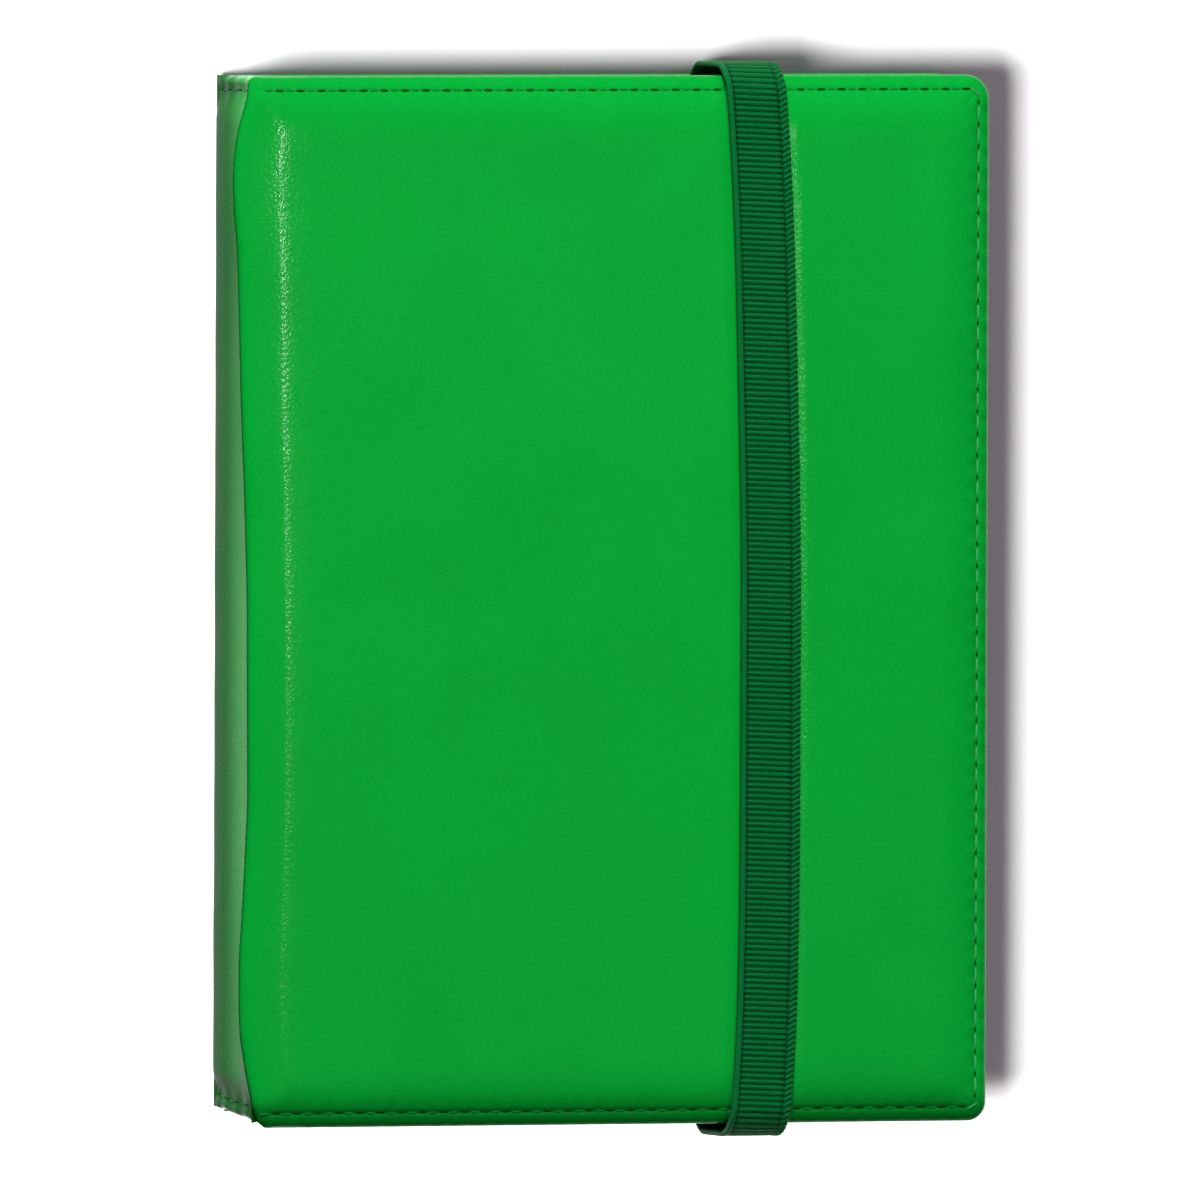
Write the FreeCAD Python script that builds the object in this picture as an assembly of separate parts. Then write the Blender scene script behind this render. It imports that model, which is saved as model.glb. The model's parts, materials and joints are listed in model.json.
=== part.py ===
"""Pocket stamp album with a padded cover and an elastic closure strap, in millimetres.

The album lies closed on its back cover: +Z runs from the back cover to the front cover, +Y from the
tail to the head of the book, and +X from the spine to the fore-edge. The origin is in the middle of
the lowest face. Each function makes one sub-part or one group of like sub-parts.
"""
import FreeCAD, Part
import math
import os

os.makedirs("parts", exist_ok=True)
V = FreeCAD.Vector

# ---------------------------------------------------------------- driving sizes
# covers
cover_height = 225.0          # head to tail
cover_width = 165.0           # hinge line to fore-edge
cover_thickness = 6.0         # lining to crown of the pad
skin_thickness = 0.8          # padded outer skin; the lining lies flush in its turn-in
board_thickness = 2.0
corner_radius = 5.4           # fore-edge corners, seen from the front
seam_margin = 4.6             # flat stitched edge outside the pad
pad_fall = 9.0                # width over which the pad rises from the seam to its crown
shoulder_length = 5.0         # rounding of the pad beside the hinge line
turn_in = 14.0                # skin folded over the board on the inside
lining_spine_gap = 4.0        # hinge line to the lining's edge

# spine
spine_outer = 2.2             # hinge line out to the spine's outer face
spine_inner = 3.0             # hinge line in to the face that carries the leaves
spine_backing = 1.2           # strip that the linen hinges are glued to
spine_board_thickness = 2.0
hinge_gap = 0.3               # clearance where a cover turns against the spine

# perimeter stitching
stitch_inset = 3.1            # edge of the cover to the seam line
stitch_pitch = 5.0
spine_stitch_pitch = 4.2
stitch_length = 3.4
thread_radius = 0.4

# leaves
leaf_count = 8
leaf_pitch = 2.0
stack_offset = -0.15          # whole stack lowered so that both outer leaves clear the linings
card_thickness = 0.6
leaf_height = 215.0
leaf_fore_edge_gap = 4.5      # fore-edge of the cover to the edge of a leaf
leaf_corner_radius = 3.0
binding_margin = 6.0          # thickened inner edge of a card, which carries the interleaf
strip_count = 9               # pocket strips on each page
strip_height = 20.0
strip_thickness = 0.15
strip_side_margin = 4.0
strip_inner_margin = 9.0
page_head_margin = 5.0
interleaf_thickness = 0.1
interleaf_gap = 0.2           # air between the strips and the interleaf
interleaf_inset = 2.5

# linen hinges
linen_thickness = 0.25
linen_length = 10.0           # root pivot to leaf pivot
linen_inset = 4.0             # shorter than the card at head and tail
linen_root_gap = 0.4          # spine face to the root pivot
linen_root_clear = 0.25       # root pivot to the linen
pivot_clear = 0.3             # leaf pivot to the linen and to the card

# elastic strap
strap_width = 13.5
strap_thickness = 1.6
strap_from_fore_edge = 50.4   # middle of the strap to the fore-edge
strap_clear = 0.3             # strap to the crown of the pad
strap_edge_clear = 1.2        # strap to the head and tail edges
strap_turn_radius = 7.0       # outside of the turn over the head or tail edge
strap_tab_length = 8.5        # end of the strap held inside the back cover
strap_tab_thickness = 0.8

# ---------------------------------------------------------------- worked out from them
album_thickness = 2 * cover_thickness + leaf_count * leaf_pitch
knuckle = cover_thickness / 2                      # radius of a cover's rounded edge at the hinge
fore_edge_x = (cover_width + knuckle) / 2
hinge_x = fore_edge_x - cover_width
back_hinge_z = knuckle
front_hinge_z = album_thickness - knuckle
half_height = cover_height / 2
edge_thickness = 2 * skin_thickness + board_thickness
pad_drop = cover_thickness - edge_thickness
root_x = hinge_x + spine_inner + linen_root_gap
leaf_pivot_x = root_x + linen_length
card_start_x = leaf_pivot_x + pivot_clear
leaf_end_x = fore_edge_x - leaf_fore_edge_gap
strap_x = fore_edge_x - strap_from_fore_edge
strap_inner_y = half_height + strap_edge_clear
strap_outer_y = strap_inner_y + strap_thickness
strap_bottom_z = album_thickness + strap_clear
strap_top_z = strap_bottom_z + strap_thickness
tab_top_z = cover_thickness - skin_thickness       # the tab lies on the inside of the board
tab_bottom_z = tab_top_z - strap_tab_thickness


def leaf_z(index):
    """Height of the middle of a card, counted from the leaf beside the back cover."""
    return cover_thickness + leaf_pitch * (index + 0.5) + stack_offset


def box(x0, x1, y0, y1, z0, z1):
    """Rectangular block between two corners."""
    return Part.makeBox(x1 - x0, y1 - y0, z1 - z0, V(x0, y0, z0))


def rounded_plate(x0, x1, half_y, z0, z1, radius):
    """Plate whose two corners on the fore-edge side are rounded."""
    plate = box(x0, x1, -half_y, half_y, z0, z1)
    corners = [edge for edge in plate.Edges
               if abs(edge.CenterOfMass.x - x1) < 1e-6
               and abs(edge.Vertexes[0].Z - edge.Vertexes[1].Z) > 1e-6]
    return plate.makeFillet(radius, corners)


def export(shape, name):
    """Write one node, whether it is one solid or a group of separate solids."""
    shape.exportStep("parts/" + name + ".step")


# ---------------------------------------------------------------- covers
def pad_rise(edge, inset, across):
    """Edges of a pad's top from its outer edge to its crown: flat seam, then an arc.

    edge is the distance of the edge from the section's origin, inset the skin taken off, and across
    turns a distance and a height into a point.
    """
    arc_radius = (pad_fall ** 2 + pad_drop ** 2) / (2 * pad_drop)
    centre = edge - seam_margin - pad_fall
    arc_height = cover_thickness - arc_radius
    inner_radius = arc_radius - inset
    seam_height = edge_thickness - inset

    def arc_point(height):
        return centre + math.sqrt(inner_radius ** 2 - (height - arc_height) ** 2)

    middle = (seam_height + cover_thickness - inset) / 2
    edge_point = across(edge - inset, seam_height)
    foot = across(arc_point(seam_height), seam_height)
    crown = across(centre, cover_thickness - inset)
    seam = Part.LineSegment(edge_point, foot).toShape()
    rise = Part.Arc(foot, across(arc_point(middle), middle), crown).toShape()
    return [seam, rise], edge_point, crown


def pad_solid(inset):
    """Padded cover with its inside at z = 0, its crown upwards and the hinge line on x = 0.

    It is the common part of a section from hinge line to fore-edge, a section from tail to head and
    the outline with its rounded corners, each with the skin's inset taken off.
    """
    def point_xz(x, z):
        return V(x, -half_height, z)

    def point_head(y, z):
        return V(-knuckle, y, z)

    def point_tail(y, z):
        return V(-knuckle, -y, z)

    rise, edge_point, crown = pad_rise(cover_width, inset, point_xz)
    long_axis = shoulder_length + knuckle - inset
    short_axis = knuckle - inset
    shoulder_top = point_xz(shoulder_length, cover_thickness - inset)
    half_way = math.radians(135)
    shoulder_mid = point_xz(shoulder_length + long_axis * math.cos(half_way),
                            knuckle + short_axis * math.sin(half_way))
    nose = point_xz(inset - knuckle, knuckle)
    nose_mid = point_xz(-short_axis * math.cos(math.pi / 4), knuckle - short_axis * math.sin(math.pi / 4))
    nose_foot = point_xz(0, inset)
    shoulder = Part.BSplineCurve()
    shoulder.interpolate(Points=[shoulder_top, shoulder_mid, nose],
                         InitialTangent=V(-1.6 * long_axis, 0, 0), FinalTangent=V(0, 0, -1.6 * short_axis))
    section = rise + [
        Part.LineSegment(crown, shoulder_top).toShape(),
        shoulder.toShape(),
        Part.Arc(nose, nose_mid, nose_foot).toShape(),
        Part.LineSegment(nose_foot, point_xz(cover_width - inset, inset)).toShape(),
        Part.LineSegment(point_xz(cover_width - inset, inset), edge_point).toShape()]
    along = Part.Face(Part.Wire(Part.__sortEdges__(section))).extrude(V(0, cover_height, 0))

    head_rise, head_edge, head_crown = pad_rise(half_height, inset, point_head)
    tail_rise, tail_edge, tail_crown = pad_rise(half_height, inset, point_tail)
    head_foot = point_head(half_height - inset, inset)
    tail_foot = point_tail(half_height - inset, inset)
    cross = head_rise + tail_rise + [
        Part.LineSegment(head_crown, tail_crown).toShape(),
        Part.LineSegment(head_edge, head_foot).toShape(),
        Part.LineSegment(head_foot, tail_foot).toShape(),
        Part.LineSegment(tail_foot, tail_edge).toShape()]
    across = Part.Face(Part.Wire(Part.__sortEdges__(cross))).extrude(V(cover_width + knuckle, 0, 0))

    outline = rounded_plate(-knuckle, cover_width - inset, half_height - inset, 0, cover_thickness,
                            corner_radius - inset)
    return along.common(across).common(outline)


def to_front(shape):
    """Put a cover piece, made on the hinge line, on the front of the album."""
    placed = shape.copy()
    placed.translate(V(hinge_x, 0, album_thickness - cover_thickness))
    return placed


def to_back(shape):
    """Turn a cover piece over for the back of the album. A cover is the same at head and tail."""
    placed = shape.copy()
    placed.rotate(V(0, 0, 0), V(1, 0, 0), 180)
    placed.translate(V(hinge_x, 0, cover_thickness))
    return placed


def lining_plate():
    """Inner lining, which fills the window that the skin's turn-in leaves."""
    return box(lining_spine_gap, cover_width - turn_in, turn_in - half_height, half_height - turn_in,
               0, skin_thickness)


def board_plate(cavity):
    """Stiff board: the part of the space inside the skin that lies next to the lining."""
    return cavity.common(box(0, cover_width, -half_height, half_height,
                             skin_thickness, skin_thickness + board_thickness))


def stitch(x, y, z, along_x):
    """One thread stitch, a rounded bar that lies on a face, with its long side along X or Y."""
    start = V(0, -stitch_length / 2, 0)
    rod = Part.makeCylinder(thread_radius, stitch_length, start, V(0, 1, 0))
    bar = rod.common(box(-thread_radius, thread_radius, -stitch_length / 2, stitch_length / 2,
                         0, thread_radius))
    if along_x:
        bar.rotate(V(0, 0, 0), V(0, 0, 1), 90)
    bar.translate(V(x, y, z))
    return bar


def seam_places(start, end, pitch):
    """Middles of the stitches along a seam, evenly spaced about its middle."""
    count = int((end - start) / pitch)
    first = (start + end) / 2 - (count - 1) * pitch / 2
    return [first + pitch * number for number in range(count)]


def cover_stitching():
    """Stitches on the flat edge of a cover: head, tail and fore-edge."""
    seam_y = half_height - stitch_inset
    seam_x = cover_width - stitch_inset
    corner = corner_radius + stitch_length / 2
    bars = []
    for x in seam_places(shoulder_length, cover_width - corner, stitch_pitch):
        bars.append(stitch(x, seam_y, edge_thickness, True))
        bars.append(stitch(x, -seam_y, edge_thickness, True))
    for y in seam_places(corner - half_height, half_height - corner, stitch_pitch):
        bars.append(stitch(seam_x, y, edge_thickness, False))
    return Part.makeCompound(bars)


def tab_space(end):
    """Room for one end of the strap in the back cover; end is 1 at the head and -1 at the tail."""
    near = end * (half_height - strap_tab_length)
    far = end * strap_inner_y
    return box(strap_x - strap_width / 2, strap_x + strap_width / 2, min(near, far), max(near, far),
               tab_bottom_z, tab_top_z)


def make_covers():
    """Both covers: skin, foam, board, lining and stitching each."""
    outside = pad_solid(0)
    cavity = pad_solid(skin_thickness)
    lining = lining_plate()
    board = board_plate(cavity)
    foam = cavity.cut(board)
    skin = outside.cut(cavity).cut(lining)
    stitching = cover_stitching()
    for name, shape in (("skin", skin), ("foam", foam), ("board", board), ("lining", lining),
                        ("stitching", stitching)):
        export(to_front(shape), "front_cover_" + name)
        back = to_back(shape)
        if name in ("skin", "board"):
            back = back.cut(tab_space(1)).cut(tab_space(-1))
        export(back, "back_cover_" + name)


# ---------------------------------------------------------------- spine
def spine_layer(inner, outer, end_inset):
    """One layer of the spine between two distances from the hinge line, inner side positive.

    Its long edges are hollowed round the covers' rounded edges, with the hinge gap between.
    """
    low = back_hinge_z + knuckle + hinge_gap
    high = front_hinge_z - knuckle - hinge_gap
    half_y = half_height - end_inset
    layer = box(hinge_x + outer, hinge_x + inner, -half_y, half_y, back_hinge_z, front_hinge_z)
    for axis_z in (back_hinge_z, front_hinge_z):
        layer = layer.cut(Part.makeCylinder(knuckle + hinge_gap, cover_height,
                                            V(hinge_x, -half_height, axis_z), V(0, 1, 0)))
    inner_side = box(hinge_x, hinge_x + spine_inner, -half_height, half_height, low, high)
    outer_side = box(hinge_x - spine_outer, hinge_x, -half_height, half_height, back_hinge_z, front_hinge_z)
    return layer.common(inner_side.fuse(outer_side))


def make_spine():
    """Spine: skin folded over head and tail, foam, board, backing strip and its end stitching."""
    board_inner = spine_inner - spine_backing
    board_outer = board_inner - spine_board_thickness
    core_outer = skin_thickness - spine_outer
    core = spine_layer(spine_inner, core_outer, skin_thickness)
    skin = spine_layer(spine_inner, -spine_outer, 0).cut(core)
    export(skin, "spine_skin")
    export(spine_layer(board_outer, core_outer, skin_thickness), "spine_foam")
    export(spine_layer(board_inner, board_outer, skin_thickness), "spine_board")
    export(spine_layer(spine_inner, board_inner, skin_thickness), "spine_backing_strip")

    face_x = hinge_x - spine_outer
    face_start = math.sqrt((knuckle + hinge_gap) ** 2 - spine_outer ** 2)
    bars = []
    for z in seam_places(back_hinge_z + face_start, front_hinge_z - face_start, spine_stitch_pitch):
        for end in (1, -1):
            bar = stitch(0, 0, 0, False)
            bar.rotate(V(0, 0, 0), V(1, 0, 0), 90)
            bar.rotate(V(0, 0, 0), V(0, 0, 1), -90)
            bar.translate(V(face_x, end * (half_height - stitch_inset), z))
            bars.append(bar)
    export(Part.makeCompound(bars), "spine_stitching")


# ---------------------------------------------------------------- leaves
def make_leaf(index):
    """One leaf: card, clear pocket strips on both pages, glassine interleaf and linen hinge."""
    z = leaf_z(index)
    name = "leaf_" + str(index + 1)
    half_leaf = leaf_height / 2
    card_top = z + card_thickness / 2
    card_bottom = z - card_thickness / 2
    interleaf_bottom = card_top + strip_thickness + interleaf_gap

    card = rounded_plate(card_start_x, leaf_end_x, half_leaf, card_bottom, card_top, leaf_corner_radius)
    margin = box(card_start_x, card_start_x + binding_margin, interleaf_inset - half_leaf,
                 half_leaf - interleaf_inset, card_top, interleaf_bottom)
    export(card.fuse(margin).removeSplitter(), name + "_card")

    strips = []
    strip_pitch = (leaf_height - 2 * page_head_margin) / strip_count
    for number in range(strip_count):
        low = page_head_margin - half_leaf + strip_pitch * number
        for bottom in (card_top, card_bottom - strip_thickness):
            strips.append(box(card_start_x + strip_inner_margin, leaf_end_x - strip_side_margin,
                              low, low + strip_height, bottom, bottom + strip_thickness))
    export(Part.makeCompound(strips), name + "_pocket_strips")

    interleaf = rounded_plate(card_start_x, leaf_end_x - interleaf_inset, half_leaf - interleaf_inset,
                              interleaf_bottom, interleaf_bottom + interleaf_thickness, leaf_corner_radius)
    export(interleaf, name + "_interleaf")

    linen = box(root_x + linen_root_clear, leaf_pivot_x - pivot_clear, linen_inset - half_leaf,
                half_leaf - linen_inset, z - linen_thickness / 2, z + linen_thickness / 2)
    export(linen, name + "_linen_hinge")


# ---------------------------------------------------------------- elastic strap
def strap_turn(end):
    """Quarter turn of the strap over an edge and its run down to the back cover."""
    inner_radius = strap_turn_radius - strap_thickness
    centre_y = strap_outer_y - strap_turn_radius
    centre_z = strap_top_z - strap_turn_radius
    axis_start = V(strap_x - strap_width / 2, centre_y, centre_z)
    ring = Part.makeCylinder(strap_turn_radius, strap_width, axis_start, V(1, 0, 0)).cut(
        Part.makeCylinder(inner_radius, strap_width, axis_start, V(1, 0, 0)))
    quarter = ring.common(box(strap_x - strap_width / 2, strap_x + strap_width / 2,
                              centre_y, strap_outer_y, centre_z, strap_top_z))
    drop = box(strap_x - strap_width / 2, strap_x + strap_width / 2, strap_inner_y, strap_outer_y,
               tab_bottom_z, centre_z)
    turn = quarter.fuse(drop).removeSplitter()
    if end < 0:
        turn.rotate(V(strap_x, 0, 0), V(0, 0, 1), 180)
    return turn


def make_strap():
    """Elastic strap across the front, its turns at head and tail, and the ends held in the back."""
    straight = strap_outer_y - strap_turn_radius
    export(box(strap_x - strap_width / 2, strap_x + strap_width / 2, -straight, straight,
               strap_bottom_z, strap_top_z), "strap_front_run")
    for end, place in ((1, "head"), (-1, "tail")):
        export(strap_turn(end), "strap_" + place + "_turn")
        export(tab_space(end), "strap_" + place + "_tab")


make_covers()
make_spine()
for leaf in range(leaf_count):
    make_leaf(leaf)
make_strap()
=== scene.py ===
"""Pocket stamp album: padded leather-like covers, stitched edges, black leaves and an elastic strap.

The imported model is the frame: it gives every place and size, and the pieces made here dress it.
Lengths inside the shape functions are millimetres and become metres when a mesh is made.
"""
import json
import math

import bpy
import numpy as np
from bpy.props import FloatProperty, FloatVectorProperty, PointerProperty
from mathutils import Matrix, Vector


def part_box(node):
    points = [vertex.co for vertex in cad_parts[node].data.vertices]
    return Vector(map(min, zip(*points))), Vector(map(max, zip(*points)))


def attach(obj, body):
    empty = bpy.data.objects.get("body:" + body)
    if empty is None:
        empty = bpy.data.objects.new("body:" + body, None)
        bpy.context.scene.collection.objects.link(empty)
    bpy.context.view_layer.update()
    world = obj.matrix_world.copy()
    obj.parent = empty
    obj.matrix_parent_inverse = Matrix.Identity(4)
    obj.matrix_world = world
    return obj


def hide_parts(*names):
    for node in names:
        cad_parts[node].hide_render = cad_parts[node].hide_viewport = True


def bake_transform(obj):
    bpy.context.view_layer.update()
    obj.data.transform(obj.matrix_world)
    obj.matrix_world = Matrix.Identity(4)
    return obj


bl_info = {
    "name": "Stamp Album",
    "version": (1, 0, 0),
    "blender": (4, 5, 0),
    "location": "3D View > Sidebar > Album",
    "description": "Builds a padded stamp album with stitched covers, leaves and an elastic strap",
    "category": "Add Mesh",
}

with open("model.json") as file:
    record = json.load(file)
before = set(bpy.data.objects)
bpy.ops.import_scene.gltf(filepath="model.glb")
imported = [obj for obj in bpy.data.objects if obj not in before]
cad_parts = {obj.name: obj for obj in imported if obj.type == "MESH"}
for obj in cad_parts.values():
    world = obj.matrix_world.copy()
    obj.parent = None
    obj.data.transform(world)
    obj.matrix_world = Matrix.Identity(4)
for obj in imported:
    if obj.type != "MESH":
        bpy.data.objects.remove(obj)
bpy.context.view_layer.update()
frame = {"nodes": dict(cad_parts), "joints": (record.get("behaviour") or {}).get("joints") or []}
MM = 0.001


def node_box(name):
    """Lowest and highest corner of a frame node, in millimetres."""
    low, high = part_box(name)
    return np.array(low) / MM, np.array(high) / MM


def hinge_line(name):
    """X and Z of a hinge's axis, in millimetres."""
    joint = next(j for j in frame["joints"] if j["name"] == name)
    return joint["pos_m"][0] / MM, joint["pos_m"][2] / MM


FRONT_LOW, FRONT_HIGH = node_box("front_cover_skin")
SPINE_LOW, SPINE_HIGH = node_box("spine_skin")
STRAP_LOW, STRAP_HIGH = node_box("strap_front_run")
TURN_LOW, TURN_HIGH = node_box("strap_head_turn")
HINGE_X, BACK_HINGE_Z = hinge_line("album_opening")
FRONT_HINGE_Z = hinge_line("front_cover_hinge")[1]
HALF_HEIGHT = FRONT_HIGH[1]
COVER_WIDTH = FRONT_HIGH[0] - HINGE_X
COVER_THICKNESS = FRONT_HIGH[2] - FRONT_LOW[2]
ALBUM_THICKNESS = FRONT_HIGH[2]
STRAP_X = (STRAP_LOW[0] + STRAP_HIGH[0]) / 2


# ---------------------------------------------------------------- settings
class AlbumSizes(bpy.types.PropertyGroup):
    """Sizes of the soft pieces that a maker would change."""

    edge_roll: FloatProperty(
        name="Edge roll", description="Radius of the rolled edge outside the seam",
        default=1.8 * MM, subtype="DISTANCE", unit="LENGTH")
    seam_inset: FloatProperty(
        name="Seam inset", description="Edge of a cover to its line of stitches",
        default=3.1 * MM, subtype="DISTANCE", unit="LENGTH")
    pad_fall: FloatProperty(
        name="Pad fall", description="Width over which the pad rises from the seam to its crown",
        default=11.0 * MM, subtype="DISTANCE", unit="LENGTH")
    shoulder: FloatProperty(
        name="Shoulder", description="Width of the rounding beside the spine",
        default=9.0 * MM, subtype="DISTANCE", unit="LENGTH")
    stitch_pitch: FloatProperty(
        name="Stitch pitch", description="Distance from one stitch to the next",
        default=4.75 * MM, subtype="DISTANCE", unit="LENGTH")
    thread_radius: FloatProperty(
        name="Thread radius", description="Radius of the seam thread",
        default=0.28 * MM, subtype="DISTANCE", unit="LENGTH")
    rib_pitch: FloatProperty(
        name="Rib pitch", description="Distance between the cross ribs of the elastic",
        default=1.2 * MM, subtype="DISTANCE", unit="LENGTH")
    grain_size: FloatProperty(
        name="Grain size", description="Size of one cell of the leather-like grain",
        default=0.8 * MM, subtype="DISTANCE", unit="LENGTH")


class AlbumColours(bpy.types.PropertyGroup):
    """Colours of the visible materials."""

    cover: FloatVectorProperty(
        name="Cover", description="Colour of the padded skin", subtype="COLOR", size=3,
        min=0.0, max=1.0, default=(0.0025, 0.40, 0.038))
    thread: FloatVectorProperty(
        name="Thread", description="Colour of the seam thread", subtype="COLOR", size=3,
        min=0.0, max=1.0, default=(0.004, 0.33, 0.042))
    strap: FloatVectorProperty(
        name="Strap", description="Colour of the elastic strap", subtype="COLOR", size=3,
        min=0.0, max=1.0, default=(0.0015, 0.165, 0.036))
    leaf: FloatVectorProperty(
        name="Leaf", description="Colour of the leaf card", subtype="COLOR", size=3,
        min=0.0, max=1.0, default=(0.012, 0.012, 0.013))


def sizes():
    """Sizes of the scene's album."""
    return bpy.context.scene.album_sizes


def colours():
    """Colours of the scene's album."""
    return bpy.context.scene.album_colours


# ---------------------------------------------------------------- mesh helpers
def smooth(t):
    """Smooth step: 3 t squared less 2 t cubed, with t held between 0 and 1."""
    t = np.clip(t, 0.0, 1.0)
    return t * t * (3.0 - 2.0 * t)


def bump_at(value, centre, width):
    """Bell curve of height 1: e to the minus square of the distance over the width."""
    return np.exp(-((value - centre) / width) ** 2)


def soft_min(a, b, blend):
    """Smaller of two values, rounded over a blend: half of a + b less the root of (a - b)^2 + blend^2."""
    return 0.5 * (a + b - np.sqrt((a - b) ** 2 + blend ** 2))


def grid_quads(rows, columns, flip=False, loop=False):
    """Quads of a rows by columns grid of points; loop joins the last column to the first."""
    row = np.arange(rows - 1)[:, None] * columns
    column = np.arange(columns if loop else columns - 1)[None, :]
    following = (column + 1) % columns
    quads = np.stack([row + column, row + following, row + columns + following, row + columns + column], -1)
    quads = quads.reshape(-1, 4)
    return quads[:, ::-1] if flip else quads


def new_piece(name, points, faces, material):
    """Mesh object from millimetre points and faces, shaded smooth."""
    mesh = bpy.data.meshes.new(name)
    mesh.from_pydata((points * MM).tolist(), [], faces if isinstance(faces, list) else faces.tolist())
    mesh.materials.append(material)
    piece = bpy.data.objects.new(name, mesh)
    bpy.context.scene.collection.objects.link(piece)
    mesh.polygons.foreach_set("use_smooth", np.ones(len(mesh.polygons), bool))
    mesh.update()
    return piece


def point_values(piece, name, values):
    """Store one number for each point of a piece, for its material to read."""
    attribute = piece.data.attributes.new(name, "FLOAT", "POINT")
    attribute.data.foreach_set("value", np.asarray(values, np.float32).ravel())


def waves(x, y, length, seed):
    """Gentle unevenness between -1 and 1: the mean of five sine waves in seeded directions."""
    random = np.random.default_rng(seed)
    total = np.zeros(np.broadcast(x, y).shape)
    for _ in range(5):
        angle, phase, stretch = random.uniform(0, math.tau, 3)
        step = math.tau / (length * (0.7 + 0.1 * stretch))
        total = total + np.sin((x * math.cos(angle) + y * math.sin(angle)) * step + phase)
    return total / 5.0


# ---------------------------------------------------------------- materials
class Finish:
    """Node tree of one material, with short ways to add texture, mixing and relief."""

    def __init__(self, name, roughness, **surface):
        self.material = bpy.data.materials.new(name)
        self.material.use_nodes = True
        self.nodes = self.material.node_tree.nodes
        self.links = self.material.node_tree.links
        self.surface = self.nodes["Principled BSDF"]
        self.put(self.surface, "Roughness", roughness)
        for key, value in surface.items():
            self.put(self.surface, key.replace("_", " "), value)
        self.point = self.nodes.new("ShaderNodeTexCoord").outputs["Object"]

    def put(self, node, key, value):
        """Link a socket to an input, or set the input's own value."""
        if isinstance(value, bpy.types.NodeSocket):
            self.links.new(value, node.inputs[key])
        else:
            node.inputs[key].default_value = value

    def add(self, kind, settings, inputs, output=0):
        """New node with settings and inputs; gives back one output."""
        node = self.nodes.new(kind)
        for key, value in settings.items():
            setattr(node, key, value)
        for key, value in inputs.items():
            self.put(node, key, value)
        return node.outputs[output]

    def calc(self, operation, a, b=0.0):
        """Arithmetic on two values."""
        return self.add("ShaderNodeMath", {"operation": operation}, {0: a, 1: b})

    def fade(self, value, start, end, low=0.0, high=1.0):
        """Value mapped smoothly from start..end to low..high."""
        return self.add("ShaderNodeMapRange", {"interpolation_type": "SMOOTHSTEP"},
                        {0: value, 1: start, 2: end, 3: low, 4: high})

    def scaled(self, x, y, z, turn=0.0):
        """Object coordinates turned about Z and stretched."""
        return self.add("ShaderNodeMapping", {},
                        {"Vector": self.point, "Scale": (x, y, z), "Rotation": (0.0, 0.0, turn)})

    def noise(self, size, detail=2.0, point=None):
        """Noise whose features are about size millimetres."""
        return self.add("ShaderNodeTexNoise", {},
                        {"Vector": point or self.point, "Scale": 1.0 / (size * MM), "Detail": detail})

    def cells(self, size, feature="F1"):
        """Distance pattern of cells about size millimetres across."""
        return self.add("ShaderNodeTexVoronoi", {"feature": feature},
                        {"Vector": self.point, "Scale": 1.0 / (size * MM)})

    def value(self, name):
        """Number stored on the mesh's points."""
        return self.add("ShaderNodeAttribute", {"attribute_name": name}, {}, "Fac")

    def mix(self, factor, a, b):
        """Blend of two colours."""
        a, b = (c if isinstance(c, bpy.types.NodeSocket) else (*c, 1.0) for c in (a, b))
        node = self.nodes.new("ShaderNodeMix")
        node.data_type = "RGBA"
        for socket, given in ((0, factor), (6, a), (7, b)):
            self.put(node, socket, given)
        return node.outputs[2]

    def relief(self, height, distance, strength=1.0, under=None):
        """Bump of a height field that is distance millimetres deep."""
        inputs = {"Height": height, "Distance": distance * MM, "Strength": strength}
        if under is not None:
            inputs["Normal"] = under
        return self.add("ShaderNodeBump", {}, inputs)

    def finish(self, colour=None, normal=None, roughness=None):
        """Connect the colour, relief and roughness; gives back the material."""
        for key, given in (("Base Color", colour), ("Normal", normal), ("Roughness", roughness)):
            if given is not None:
                self.put(self.surface, key, given)
        return self.material


def shade(colour, factor):
    """Colour made lighter or darker."""
    return tuple(min(1.0, c * factor) for c in colour)


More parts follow.
